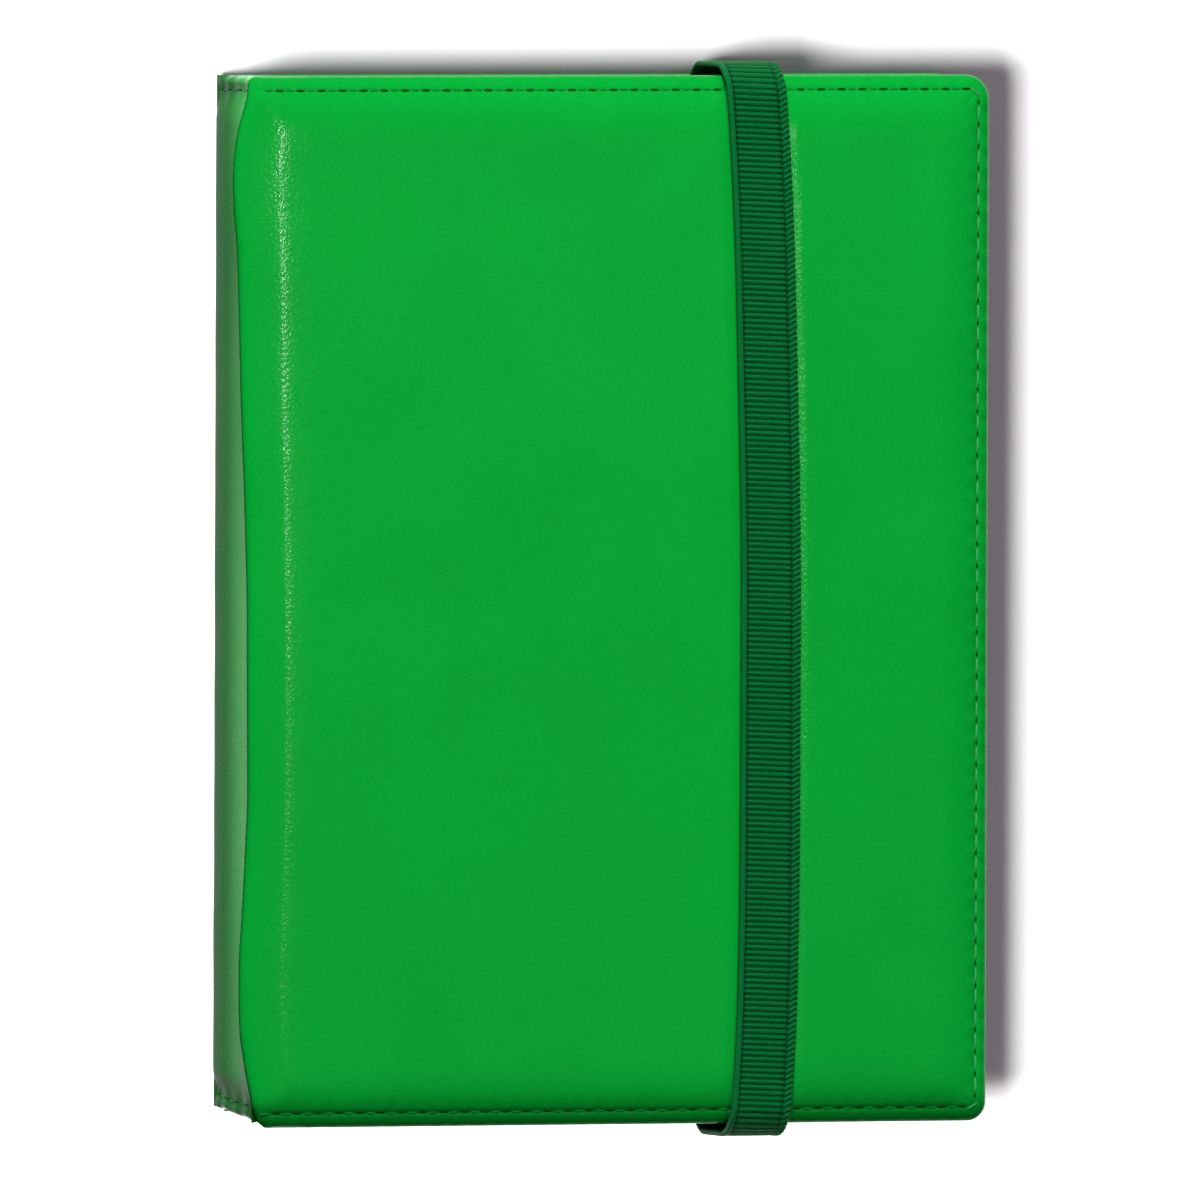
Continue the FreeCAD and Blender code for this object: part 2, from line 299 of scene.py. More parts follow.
def leather_like():
    """Fine-grained soft coating: cell grain, small pores, gentle mottling and needle holes along the seam, with painted
    shade in the holes, along the seam's groove, over the tail margin and down the spine's foot, and a painted highlight
    up the spine.
    """
    look = Finish("padded_skin", 0.25)
    look.put(look.surface, "Specular IOR Level", look.calc("MULTIPLY", look.fade(look.value("from_spine"), 0.6, 4.0, 0.0, 0.22),
                                                              look.fade(look.value("from_spine"), 8.0, 13.0, 1.0, 0.3)))
    colour = tuple(colours().cover)
    grain_size = sizes().grain_size / MM
    grain = look.calc("ADD", look.calc("MULTIPLY", look.cells(grain_size), -1.0),
                      look.calc("MULTIPLY", look.noise(0.35, 3.0), 0.5))
    mottle = look.noise(30.0, 2.0)
    pits = look.fade(look.cells(grain_size), 0.35, 0.75)
    along, across = look.value("seam_along"), look.value("seam_across")
    phase = look.calc("ABSOLUTE", look.calc("SUBTRACT", look.calc("FRACT", look.calc("ADD", along, 0.5)), 0.5))
    reach = look.calc("ADD", look.calc("POWER", look.calc("DIVIDE", phase, look.value("hole_reach")), 2.0),
                      look.calc("POWER", look.calc("DIVIDE", across, 0.28), 2.0))
    hole = look.fade(reach, 0.7, 1.25, 1.0, 0.0)
    groove = look.fade(look.calc("ABSOLUTE", across), 0.1, 0.9, 1.0, 0.0)
    pull = look.calc("MULTIPLY", look.fade(across, 0.0, 4.5, 1.0, 0.0),
                     look.calc("COSINE", look.calc("MULTIPLY", along, math.tau)))
    body = look.mix(look.fade(mottle, 0.3, 0.7), shade(colour, 0.97), shade(colour, 1.03))
    body = look.mix(look.calc("MULTIPLY", pits, 0.12), body, shade(colour, 0.6))
    # painted shade: a darker line along the seam's groove
    body = look.mix(look.calc("MULTIPLY", groove, 0.12), body, shade(colour, 0.5))
    # painted shade: the cover's tail margin and the spine's foot and tail end are darkened
    body = look.mix(look.calc("MULTIPLY", look.value("painted_shade"), 0.5), body, shade(colour, 0.15))
    # painted light: the upper part of the spine is lightened
    body = look.mix(look.value("painted_light"), body, shade(colour, 1.75))
    # painted shade: the needle holes are darkened as if in their own shadow
    body = look.mix(hole, body, shade(colour, 0.16))
    bump = look.relief(grain, 0.05, 0.6)
    bump = look.relief(look.noise(26.0, 2.0), 0.4, 0.4, bump)
    bump = look.relief(pull, 0.11, 0.6, bump)
    bump = look.relief(look.calc("SUBTRACT", 1.0, hole), 0.3, 0.5, bump)
    rough = look.calc("ADD", look.fade(look.noise(0.5, 2.0), 0.3, 0.7, 0.13, 0.19), look.calc("MULTIPLY", hole, 0.4))
    return look.finish(body, bump, rough)


def twisted_thread():
    """Shiny twisted thread: slanted strands along each stitch, and a painted highlight on the stitches of the side
    seams.
    """
    look = Finish("seam_thread", 0.45, Specular_IOR_Level=0.2)
    colour = tuple(colours().thread)
    strands = look.calc("SINE", look.calc("MULTIPLY", look.value("thread_turn"), math.tau * 3.0))
    fuzz = look.noise(0.12, 3.0)
    body = look.mix(look.fade(strands, -0.8, 0.6), shade(colour, 0.62), colour)
    # painted highlight: stitches along the side seams are lightened towards a pale green
    body = look.mix(look.calc("MULTIPLY", look.value("painted_thread_highlight"), 0.6), body, (0.12, 0.80, 0.25))
    body = look.mix(look.calc("MULTIPLY", fuzz, 0.25), body, shade(colour, 1.35))
    bump = look.relief(look.calc("ADD", strands, look.calc("MULTIPLY", fuzz, 0.5)), 0.08, 0.8)
    return look.finish(body, bump)


def ribbed_elastic():
    """Woven elastic: cross ribs with fine warp threads, with painted shade between the ribs and beside the selvages."""
    look = Finish("strap_elastic", 0.62, Specular_IOR_Level=0.12, Sheen_Weight=0.04, Sheen_Roughness=0.4)
    colour = tuple(colours().strap)
    height, across, along = look.value("rib_height"), look.value("strap_across"), look.value("strap_along")
    warp = look.calc("SINE", look.calc("MULTIPLY", across, math.tau / 0.42))
    weft = look.calc("SINE", look.calc("MULTIPLY", along, math.tau * 2.0))
    fuzz = look.noise(0.25, 4.0)
    patches = look.noise(7.0, 2.0)
    # painted shade: colour darkens where the weave's relief is low, between the ribs and in the selvage grooves
    edge = look.calc("ADD", height, look.calc("MULTIPLY", look.calc("ADD", warp, look.calc("MULTIPLY", fuzz, 3.0)), 0.045))
    body = look.mix(look.fade(edge, -0.06, 0.16), shade(colour, 0.10), shade(colour, 1.08))
    body = look.mix(look.calc("MULTIPLY", look.fade(warp, -1.0, 0.2, 1.0, 0.0), 0.3), body, shade(colour, 0.45))
    body = look.mix(look.calc("MULTIPLY", look.fade(fuzz, 0.35, 0.75), 0.35), body, shade(colour, 1.4))
    body = look.mix(look.fade(patches, 0.3, 0.75, 0.0, 0.22), body, shade(colour, 0.6))
    threads = look.calc("ADD", look.calc("MULTIPLY", warp, 0.5), look.calc("MULTIPLY", weft, 0.25))
    bump = look.relief(look.calc("ADD", threads, fuzz), 0.09, 0.7)
    return look.finish(body, bump)


def black_card():
    """Smooth black card with a faint fibre texture."""
    look = Finish("leaf_card", 0.58, Specular_IOR_Level=0.35)
    colour = tuple(colours().leaf)
    fibres = look.noise(1.0, 4.0, look.scaled(1.0, 4.0, 1.0, 0.4))
    body = look.mix(look.fade(fibres, 0.35, 0.7), colour, shade(colour, 1.9))
    return look.finish(body, look.relief(fibres, 0.03, 0.6), look.fade(fibres, 0.3, 0.7, 0.5, 0.66))


def clear_film():
    """Clear stiff film: thin, glossy, with faint drawing lines and a slight waviness."""
    look = Finish("clear_strip", 0.08, Specular_IOR_Level=0.5, Alpha=0.22)
    lines = look.noise(3.0, 2.0, look.scaled(0.15, 3.0, 1.0))
    wave = look.noise(14.0, 1.0)
    bump = look.relief(wave, 0.3, 0.4, look.relief(lines, 0.01, 0.4))
    body = look.mix(look.fade(wave, 0.3, 0.7), (0.80, 0.83, 0.85), (0.90, 0.92, 0.93))
    return look.finish(body, bump, look.fade(lines, 0.3, 0.8, 0.05, 0.14))


def glassine_paper():
    """Thin translucent paper with cloudy fibres."""
    look = Finish("glassine", 0.35, Alpha=0.55)
    cloud, fibres = look.noise(5.0, 4.0), look.noise(0.6, 3.0)
    body = look.mix(look.fade(cloud, 0.3, 0.7), (0.72, 0.72, 0.66), (0.86, 0.86, 0.82))
    return look.finish(body, look.relief(fibres, 0.02, 0.5), look.fade(fibres, 0.3, 0.7, 0.28, 0.45))


def woven(name, colour, pitch, roughness):
    """Plain weave: warp and weft threads that rise and fall against each other."""
    look = Finish(name, roughness, Sheen_Weight=0.2, Sheen_Roughness=0.5)
    step = math.tau / (pitch * MM)
    parts = look.add("ShaderNodeSeparateXYZ", {}, {0: look.point}, 0).node
    lines = [look.calc("SINE", look.calc("MULTIPLY", parts.outputs[axis],
                                         look.add("ShaderNodeValue", {}, {}))) for axis in ("Y", "Z")]
    for line in lines:
        line.node.inputs[0].links[0].from_node.inputs[1].links[0].from_node.outputs[0].default_value = step
    weave = look.calc("MULTIPLY", *lines)
    slub = look.noise(1.6, 3.0, look.scaled(1.0, 0.3, 1.0))
    body = look.mix(look.fade(look.calc("ADD", weave, slub), -0.4, 1.2), shade(colour, 0.5), shade(colour, 1.6))
    return look.finish(body, look.relief(look.calc("ADD", weave, slub), 0.06, 0.8))


def embossed_paper():
    """Black endpaper with a fine leather-like embossing."""
    look = Finish("lining_paper", 0.5, Specular_IOR_Level=0.4)
    cells, fine = look.cells(1.1), look.noise(0.4, 3.0)
    body = look.mix(look.fade(cells, 0.1, 0.7), (0.026, 0.026, 0.028), (0.010, 0.010, 0.011))
    height = look.calc("SUBTRACT", look.calc("MULTIPLY", fine, 0.4), cells)
    return look.finish(body, look.relief(height, 0.07, 0.8), look.fade(fine, 0.3, 0.7, 0.44, 0.58))


def grey_board():
    """Recycled grey board with flecks and a rough cut edge."""
    look = Finish("grey_board", 0.9)
    flecks, fibres = look.cells(1.3), look.noise(0.5, 4.0, look.scaled(1.0, 1.0, 6.0))
    body = look.mix(look.fade(fibres, 0.3, 0.7), (0.26, 0.25, 0.23), (0.38, 0.37, 0.34))
    body = look.mix(look.fade(flecks, 0.05, 0.16, 0.6, 0.0), body, (0.10, 0.09, 0.08))
    return look.finish(body, look.relief(fibres, 0.1, 0.8))


def open_foam():
    """Pale open-cell foam."""
    look = Finish("foam", 0.95, Subsurface_Weight=0.1)
    cells = look.cells(0.45)
    body = look.mix(look.fade(cells, 0.2, 0.7), (0.80, 0.79, 0.73), (0.55, 0.54, 0.48))
    return look.finish(body, look.relief(cells, 0.2, 0.9))


def finish_of(key, make):
    """Material made once and shared by every piece that asks for it."""
    return bpy.data.materials.get(key + "_finish") or rename(make(), key + "_finish")


def rename(item, name):
    """Give an item its name."""
    item.name = name
    return item


def dress(ending, material):
    """Put a material on every frame node whose name ends so."""
    chosen = [node for name, node in frame["nodes"].items() if name.endswith(ending)]
    if not chosen:
        raise RuntimeError("no frame node ends with " + ending)
    for node in chosen:
        node.data.materials.clear()
        node.data.materials.append(material)


# ---------------------------------------------------------------- cover
EDGE_STEPS = (0.0, 0.035, 0.14, 0.31, 0.53, 0.8, 1.1, 1.45, 1.8, 2.1, 2.4, 2.65, 2.9, 3.1, 3.3, 3.55, 3.85, 4.2,
              4.7, 5.3, 6.0, 6.8, 7.7, 8.7, 9.8, 11.0, 12.3, 13.92, 13.97, 15.0)
HOLE_REACH_END, HOLE_REACH_SIDE = 0.22, 0.11   # half the length of a needle hole, as a share of the pitch
SPINE_SIDE_STEPS = (0.0, 0.08, 0.3, 0.65, 1.1, 1.7, 2.4, 3.2, 4.1, 5.0, 5.9, 6.93, 6.98, 8.0, 9.1, 10.4)
FAR_FROM_SEAM = 50.0
GRID_STEP = 1.25
CORNER_HEAD, CORNER_TAIL, CORNER_SPINE = 5.4, 4.2, 1.8
LINING_RECESS = 0.85
RECESS_EDGE, RECESS_SPINE = 13.95, 6.95
EDGE_MIDDLE = 1.5             # height of the rim over the inside face
SEAM_HEIGHT = 3.9
SEAM_DIP = 0.2
BACK_BULGE = 0.3              # the back cover's edge beside the spine is straight
FRONT_BULGE = ((-112.5, -3.2), (-110.8, -0.9), (-103.0, 0.9), (-98.9, 1.6), (-92.5, 2.7), (-86.0, 2.9), (-75.3, 2.85),
               (-64.5, 2.1), (-43.0, 1.05), (-21.5, 1.2), (0.0, 1.3), (21.5, 1.95), (43.0, 2.85), (60.0, 3.3),
               (75.3, 3.8), (84.0, 4.6), (92.5, 4.9), (101.0, 3.9), (106.5, 2.0), (110.0, 1.2), (112.5, 1.0))
TAIL_SLANT = 4.0              # the spine's tail end rises towards the back cover
NOSE_LIFT = 0.8               # rounding of the cover's edge beside the spine, over its middle
STRAP_WIDTH = STRAP_HIGH[0] - STRAP_LOW[0]
STRAP_GROOVE = 0.45


def cover_lines():
    """Grid lines of a cover: x from the spine side to the fore-edge, and y from tail to head."""
    left, right = FRONT_LOW[0], FRONT_HIGH[0]
    edge = np.array(EDGE_STEPS)
    spine_side = left + np.array(SPINE_SIDE_STEPS)
    fore_edge = right - edge[::-1]
    count = int((fore_edge[0] - spine_side[-1]) / GRID_STEP)
    x = np.concatenate([spine_side, np.linspace(spine_side[-1], fore_edge[0], count + 1)[1:-1], fore_edge])
    tail, head = -HALF_HEIGHT + edge, HALF_HEIGHT - edge[::-1]
    count = int((head[0] - tail[-1]) / GRID_STEP)
    y = np.concatenate([tail, np.linspace(tail[-1], head[0], count + 1)[1:-1], head])
    return x, y


def edge_distances(u, v):
    """Distance of a grid point from the fore-edge, head, tail and spine side, before the corners are rounded."""
    return FRONT_HIGH[0] - u, HALF_HEIGHT - v, HALF_HEIGHT + v, u - FRONT_LOW[0]


def strap_bow(y):
    """Sideways bow of the strap.

    It lies a little towards the spine, and the more so with the cube of the distance to the head and the fifth
    power of the distance to the tail.
    """
    reach = np.clip(y / HALF_HEIGHT, -1.0, 1.0)
    ends = -3.2 * np.clip(reach, 0.0, 1.0) ** 3 - 2.0 * np.clip(-reach, 0.0, 1.0) ** 5
    return ends - 0.95 - 0.7 * smooth(y / 60.0)


def from_table(value, table, spread):
    """Smooth curve through a table of places and amounts: the mean of straight interpolation over a spread."""
    places, amounts = np.array(table).T
    return sum(np.interp(value + shift, places, amounts) for shift in np.linspace(-spread, spread, 7)) / 7.0


def spine_bulge(y):
    """How far the soft shoulder stands out over the spine at each height."""
    return from_table(y, FRONT_BULGE, 3.0)


def cover_plan(u, v, shoulder_reach, bulge):
    """Grid point to plan place: each square corner becomes a quarter disc, then the spine side moves by its bulge."""
    x, y = u.copy(), v.copy()
    for side, end, radius in ((1, 1, CORNER_HEAD), (1, -1, CORNER_TAIL), (-1, 1, CORNER_SPINE), (-1, -1, CORNER_SPINE)):
        centre_x = (FRONT_HIGH[0] if side > 0 else FRONT_LOW[0]) - side * radius
        centre_y = end * (HALF_HEIGHT - radius)
        px, py = (u - centre_x) * side, (v - centre_y) * end
        inside = (px > 0) & (py > 0)
        pull = np.maximum(px, py) / np.maximum(np.hypot(px, py), 1e-9)
        x = np.where(inside, centre_x + side * px * pull, x)
        y = np.where(inside, centre_y + end * py * pull, y)
    from_spine = u - FRONT_LOW[0]
    return x - bulge * (1.0 - smooth(from_spine / shoulder_reach)), y


def cover_top(u, v, seed):
    """Height of the padded face over the inside face.

    The margin rises from the edge to the seam as a root of the distance, the thread pulls a small dip, and the
    pad rises from there to its crown as a product of falls towards each edge. Beside the spine a quarter
    ellipse takes over, and the strap presses a groove.
    """
    set_by = sizes()
    inset, fall = set_by.seam_inset / MM, set_by.pad_fall / MM
    fore, head, tail, spine_side = edge_distances(u, v)
    nearest = np.minimum(np.minimum(fore, head), tail)
    margin = EDGE_MIDDLE + (SEAM_HEIGHT - EDGE_MIDDLE) * np.clip(nearest / inset, 0.0, 1.0) ** 0.43
    rise = np.ones_like(u)
    for distance in (fore, head, tail):
        rise = rise * (1.0 - (1.0 - np.clip((distance - inset) / fall, 0.0, 1.0)) ** 2.6)
    edge = np.where(nearest < inset, margin, SEAM_HEIGHT + (COVER_THICKNESS - SEAM_HEIGHT) * rise)
    edge = edge - SEAM_DIP * bump_at(nearest, inset, 0.5)
    middle = spine_nose(v)
    shoulder = set_by.shoulder / MM - 1.8
    nose = NOSE_LIFT * np.sqrt(1.0 - (1.0 - np.clip(spine_side / 1.6, 0.0, 1.0)) ** 2)
    ramp = middle + nose + (COVER_THICKNESS - COVER_THICKNESS / 2 - NOSE_LIFT) * spine_side / shoulder
    top = soft_min(edge, ramp, 0.25)
    inner = smooth((nearest - inset) / 8.0) * smooth(spine_side / 10.0)
    top = top - 0.14 * (0.5 + 0.5 * waves(u, v, 42.0, seed)) * inner
    across = np.abs(u - STRAP_X - strap_bow(v))
    pressed = 0.5 * (1.0 + np.tanh((STRAP_WIDTH / 2 + 0.7 - across) / 0.6))
    return top - STRAP_GROOVE * pressed * smooth((nearest - inset) / 5.0)


def spine_nose(v):
    """Height of the cover's edge beside the spine: half the bead at the ends, half the thickness between."""
    roll = sizes().edge_roll / MM
    return roll + (COVER_THICKNESS / 2 - roll) * smooth((HALF_HEIGHT - np.abs(v)) / 6.0)


def cover_inside(u, v):
    """Height of the inside face: rounded along the edges, flat on the turn-in, and recessed for the lining."""
    roll = sizes().edge_roll / MM
    fore, head, tail, spine_side = edge_distances(u, v)
    nearest = np.minimum(np.minimum(fore, head), tail)
    curl = roll - np.sqrt(np.clip(roll ** 2 - (roll - np.minimum(nearest, roll)) ** 2, 0.0, None))
    middle = spine_nose(v)
    nose = middle * (1.0 - np.sqrt(1.0 - (1.0 - np.clip(spine_side / 2.5, 0.0, 1.0)) ** 2))
    face = np.minimum(np.maximum(curl, nose), middle)
    return np.where((nearest > RECESS_EDGE) & (spine_side > RECESS_SPINE), LINING_RECESS, face)


def seam_path():
    """Plan points along the seam, from the spine side at the head round to the tail, and their lengths."""
    inset = sizes().seam_inset / MM
    start = FRONT_LOW[0] + 0.6
    right, top = FRONT_HIGH[0], HALF_HEIGHT
    bends = [(start, top - inset)]
    for radius, end in ((CORNER_HEAD, 1), (CORNER_TAIL, -1)):
        turn = np.linspace(0.0, math.pi / 2, 24)
        turn = turn if end > 0 else turn[::-1]
        centre = (right - radius, end * (top - radius))
        bends += [(centre[0] + (radius - inset) * math.sin(t), centre[1] + end * (radius - inset) * math.cos(t))
                  for t in turn]
    bends.append((start, -(top - inset)))
    bends = np.array(bends)
    lengths = np.concatenate([[0.0], np.cumsum(np.hypot(*np.diff(bends, axis=0).T))])
    return bends, lengths


def seam_stops():
    """Middle and direction of each stitch, evenly spaced along the seam, and the pitch that results."""
    bends, lengths = seam_path()
    count = round(lengths[-1] / (sizes().stitch_pitch / MM))
    pitch = lengths[-1] / count
    middles = (np.arange(count) + 0.5) * pitch
    place = lambda at: np.stack([np.interp(at, lengths, bends[:, k]) for k in (0, 1)], -1)
    heading = place(middles + 0.4) - place(middles - 0.4)
    return place(middles), heading / np.linalg.norm(heading, axis=1)[:, None], pitch


def along_seam(x, y):
    """Length along the seam of the path point nearest to each plan point, found over the path's straight pieces."""
    bends, lengths = seam_path()
    best, found = np.full(x.shape, np.inf), np.zeros(x.shape)
    for k in range(len(bends) - 1):
        step = bends[k + 1] - bends[k]
        size = math.hypot(*step)
        if size < 1e-6:
            continue
        t = np.clip(((x - bends[k, 0]) * step[0] + (y - bends[k, 1]) * step[1]) / size ** 2, 0.0, 1.0)
        gap = np.hypot(x - bends[k, 0] - t * step[0], y - bends[k, 1] - t * step[1])
        closer = gap < best
        best, found = np.where(closer, gap, best), np.where(closer, lengths[k] + t * size, found)
    return found


def cover_piece(name, front):
    """Closed padded cover: the padded face and the inside face share one plan grid and meet along its rim."""
    x, y = cover_lines()
    u, v = (axis.copy() for axis in np.meshgrid(x, y))
    top, inside = cover_top(u, v, 11 if front else 23), cover_inside(u, v)
    rim = np.zeros(u.shape, bool)
    rim[0], rim[-1], rim[:, 0], rim[:, -1] = True, True, True, True
    meet = (top + inside) / 2
    top, inside = np.where(rim, meet, top), np.where(rim, meet, inside)
    bulge = spine_bulge(v) if front else np.full(v.shape, BACK_BULGE)
    outer_x, outer_y = cover_plan(u, v, 14.0, bulge)
    inner_x, inner_y = cover_plan(u, v, 6.5, bulge)
    if not front:
        slant = TAIL_SLANT * smooth((-v - 90.0) / 22.0) * (1.0 - smooth((u - FRONT_LOW[0]) / 11.0))
        outer_y, inner_y = outer_y + slant, inner_y + slant
    place = (lambda z: FRONT_LOW[2] + z) if front else (lambda z: COVER_THICKNESS - z)
    sheets = [np.stack([outer_x, outer_y, place(top)], -1), np.stack([inner_x, inner_y, place(inside)], -1)]
    rows, columns = u.shape
    upper = grid_quads(rows, columns, flip=not front)
    lower = grid_quads(rows, columns, flip=front)
    index = np.arange(rows * columns).reshape(rows, columns)
    lower_index = index + rows * columns
    lower_index[rim] = index[rim]
    lower = lower_index.ravel()[lower]
    points = np.concatenate([sheet.reshape(-1, 3) for sheet in sheets])
    points, quads, kept = drop_loose(points, np.concatenate([upper, lower]))
    piece = new_piece(name, points, quads, finish_of("padded_skin", leather_like))
    fore, head, tail, spine_side = edge_distances(u, v)
    nearest = np.minimum(np.minimum(fore, head), tail)
    pitch = seam_stops()[2]
    along = along_seam(outer_x, outer_y) / pitch
    last = seam_path()[1][-1] / pitch
    between = (along > 0.3) & (along < last - 0.3)
    across = np.where(between, nearest - sizes().seam_inset / MM, FAR_FROM_SEAM)
    far = np.full(u.size, FAR_FROM_SEAM)
    point_values(piece, "seam_along", np.concatenate([along.ravel(), np.zeros(u.size)])[kept])
    point_values(piece, "seam_across", np.concatenate([across.ravel(), far])[kept])
    reach = np.where(fore < np.minimum(head, tail), HOLE_REACH_SIDE, HOLE_REACH_END)
    point_values(piece, "hole_reach", np.concatenate([reach.ravel(), reach.ravel()])[kept])
    point_values(piece, "from_spine", np.concatenate([spine_side.ravel(), spine_side.ravel()])[kept])
    # painted shade: the cover darkens over its last 8 mm towards the tail edge
    shaded = 1.0 - smooth((HALF_HEIGHT + v - 0.5) / 8.0)
    point_values(piece, "painted_shade", np.concatenate([shaded.ravel(), shaded.ravel()])[kept])
    return piece


def drop_loose(points, quads):
    """Leave out points that no face uses; also gives which were kept."""
    kept = np.unique(quads)
    new_index = np.zeros(len(points), int)
    new_index[kept] = np.arange(len(kept))
    return points[kept], new_index[quads], kept


# ---------------------------------------------------------------- spine
SPINE_ENDS = (0.0, 0.05, 0.2, 0.45, 0.8, 1.2, 1.6, 2.0, 2.4, 2.75, 3.1, 3.45, 3.9, 4.5, 5.3, 6.3, 7.5, 9.0, 11.0)
SPINE_SAMPLES = 48
STRIP_SAMPLES = 40
SPINE_OUTER = ((-84.65, 2.5), (-85.05, 3.0), (-85.2, 4.0), (-85.15, 6.0), (-85.0, 8.5), (-84.65, 11.5),
               (-84.25, 14.5), (-83.85, 17.5), (-83.6, 20.0), (-83.5, 21.3), (-83.3, 21.85), (-83.0, 21.95))
SPINE_INNER = ((-84.65, 2.5), (-84.5, 3.2), (-84.4, 4.0), (-84.0, 4.9), (-83.2, 5.7), (-82.1, 6.15), (-79.6, 6.3),
               (-79.15, 6.8), (-79.15, 21.2), (-79.5, 21.6), (-81.5, 21.8), (-83.0, 21.95))
SPINE_STITCHES_Z = (-7.0, -2.3, 2.4, 7.1)
SPINE_STITCH_PITCH = 4.7


def along_path(path, count):
    """Points evenly spaced along a path of straight pieces, with its corners softened by a moving mean."""
    path = np.array(path)
    lengths = np.concatenate([[0.0], np.cumsum(np.hypot(*np.diff(path, axis=0).T))])
    at = np.linspace(0.0, lengths[-1], count)
    points = np.stack([np.interp(at, lengths, path[:, k]) for k in (0, 1)], -1)
    middle = (points[:-2] + 2.0 * points[1:-1] + points[2:]) / 4.0
    return np.concatenate([points[:1], middle, points[-1:]])


def spine_recess(from_end):
    """How far the spine's face lies in: none in the middle, deepest at the seam, a bead at the end."""
    inset = sizes().seam_inset / MM
    dip = 1.0 - smooth((from_end - inset) / 6.5)
    return 0.95 * dip - 0.40 * (1.0 - smooth((from_end - 1.4) / (inset - 1.4)))


def tail_rise(y, z):
    """Rise of the spine's tail end towards the back cover, fading out up the spine."""
    slant = TAIL_SLANT * np.clip((SPINE_HIGH[2] - z) / 19.0, 0.0, 1.0)
    return (slant + 0.9 * smooth((z - 10.0) / 10.0)) * smooth((-y - 90.0) / 22.0)


def spine_piece():
    """Closed spine: rings along Y run out along the outer face and back along the inner one.

    The lower lip laps over the rounded edge of the back cover. Towards head and tail both faces close in on
    their mean by a quarter circle.
    """
    ends = np.array(SPINE_ENDS)
    count = int((2 * HALF_HEIGHT - 2 * ends[-1]) / 1.6)
    y = np.concatenate([-HALF_HEIGHT + ends,
                        np.linspace(-HALF_HEIGHT + ends[-1], HALF_HEIGHT - ends[-1], count)[1:-1],
                        HALF_HEIGHT - ends[::-1]])[:, None]
    outer, inner = (along_path(path, SPINE_SAMPLES)[None] for path in (SPINE_OUTER, SPINE_INNER))
    from_end = HALF_HEIGHT - np.abs(y)
    tip = np.sqrt(np.clip(1.0 - (1.0 - np.clip(from_end / 1.4, 0.0, 1.0)) ** 2, 0.0, 1.0))
    tip = np.maximum(tip, 0.02)[..., None]
    soft = 0.10 * waves(y, outer[..., 1], 30.0, 5) * smooth(from_end / 9.0)
    outer_x = np.minimum(outer[..., 0] + spine_recess(from_end) + soft, np.maximum(inner[..., 0] - 0.2, outer[..., 0]))
    outer = np.stack([outer_x, np.broadcast_to(outer[..., 1], outer_x.shape)], -1)
    inner = np.broadcast_to(inner, outer.shape)
    mean = (outer + inner) / 2
    loop = np.concatenate([mean + (outer - mean) * tip, (mean + (inner - mean) * tip)[:, -2:0:-1]], 1)
    x, z = loop[..., 0], loop[..., 1]
    y = np.broadcast_to(y, x.shape)
    points = np.stack([x, y + tail_rise(y, z), z], -1)
    rows, columns = x.shape
    faces = grid_quads(rows, columns, loop=True).tolist()
    faces += [list(range(columns))[::-1], list(range((rows - 1) * columns, rows * columns))]
    piece = new_piece("spine_cover", points.reshape(-1, 3), faces, finish_of("padded_skin", leather_like))
    on_face = np.arange(columns)[None, :] < SPINE_SAMPLES
    reach = np.where(on_face & (from_end < 8.0), from_end - sizes().seam_inset / MM, FAR_FROM_SEAM)
    point_values(piece, "seam_along", (z - ALBUM_THICKNESS / 2) / SPINE_STITCH_PITCH)
    point_values(piece, "seam_across", reach)
    point_values(piece, "hole_reach", np.full(x.shape, HOLE_REACH_END))
    off_tail = smooth((HALF_HEIGHT + y) / 16.0)
    point_values(piece, "from_spine", np.where(on_face, 1.3 + 1.2 * smooth((z - 9.0) / 11.0) * off_tail, FAR_FROM_SEAM))
    # painted shade: the spine's face darkens towards its foot and towards its tail end
    point_values(piece, "painted_shade", np.where(on_face, 1.0 - smooth((z - 3.0) / 12.0) * off_tail, 0.0))
    # painted light: the spine's face lightens towards the front cover, away from the tail
    point_values(piece, "painted_light", np.where(on_face, smooth((z - 10.0) / 9.0) * off_tail, 0.0))
    return piece


def backing_strip():
    """Cloth strip inside the spine that carries the linen hinges: a flat closed tube, rounded at its edges."""
    low, high = node_box("spine_backing_strip")
    turn = (np.arange(STRIP_SAMPLES) + 0.5) * math.tau / STRIP_SAMPLES
    across, upward = (np.sign(f) * np.abs(f) ** 0.25 for f in (np.cos(turn), np.sin(turn)))
    y = np.concatenate([[low[1] + TAIL_SLANT], np.linspace(low[1] + TAIL_SLANT + 0.3, high[1] - 1.3, 80), [high[1] - 1.0]])
    ends = np.ones((len(y), 1))
    ends[[0, -1]] = 0.8
    x = (low[0] + high[0]) / 2 + (high[0] - low[0]) / 2 * across * ends
    z = (low[2] + high[2]) / 2 + (high[2] - low[2]) / 2 * upward * (0.98 + 0.02 * ends)
    rows, columns = x.shape
    faces = grid_quads(rows, columns, loop=True).tolist()
    faces += [list(range(columns))[::-1], list(range((rows - 1) * columns, rows * columns))]
    points = np.stack([x, np.broadcast_to(y[:, None], x.shape), z], -1).reshape(-1, 3)
    return new_piece("backing_strip", points, faces,
                     finish_of("backing_cloth", lambda: woven("backing_cloth", (0.025, 0.025, 0.027), 0.7, 0.75)))


# ---------------------------------------------------------------- stitches
PULLED_IN = 0.19              # the stitches at head and tail lie this much deeper in the skin


